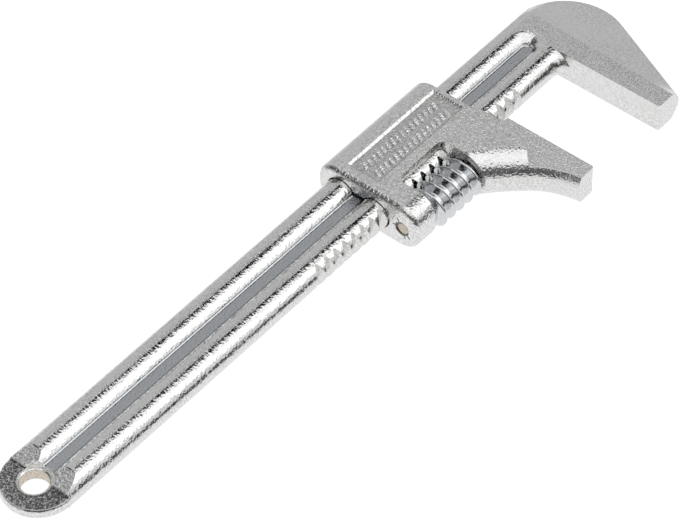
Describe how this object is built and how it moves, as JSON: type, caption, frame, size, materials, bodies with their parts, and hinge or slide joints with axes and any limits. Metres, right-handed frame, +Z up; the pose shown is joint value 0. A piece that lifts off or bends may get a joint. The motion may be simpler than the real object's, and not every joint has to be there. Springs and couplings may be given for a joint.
{
  "type": "adjustable wrench",
  "caption": "Adjustable wrench with a ribbed figure-eight bar, a fixed jaw, and a sliding jaw driven along a rack by an adjusting worm.",
  "frame": {"origin": "centre of the hang hole, half-way through the thickness", "axes": "+X along the bar towards the fixed jaw, -Y the side the jaws point to, +Z up out of the top face"},
  "size_m": [0.2821, 0.0697, 0.018],
  "materials": {
    "plated_steel": "satin plated forging",
    "bright_steel": "bright plated",
    "bare_steel": "bare"
  },
  "bodies": {
    "bar": {"handle_bar": "plated_steel"},
    "slider": {"sliding_jaw": "plated_steel", "worm_pin": "bare_steel"},
    "worm": {"adjusting_worm": "bright_steel"}
  },
  "joints": [
    {"name": "jaw_slide", "type": "slide", "parent": "bar", "child": "slider", "axis": [1, 0, 0], "range_m": [-0.0437, 0.035]},
    {"name": "worm_spin", "type": "hinge", "parent": "slider", "child": "worm", "pos_m": [0.1722, -0.0185, 0], "axis": [1, 0, 0], "range_deg": [-3600, 2890]}
  ],
  "couplings": [
    {"joint": "worm_spin", "follows": "jaw_slide", "rad_per_m": 1436.2}
  ]
}
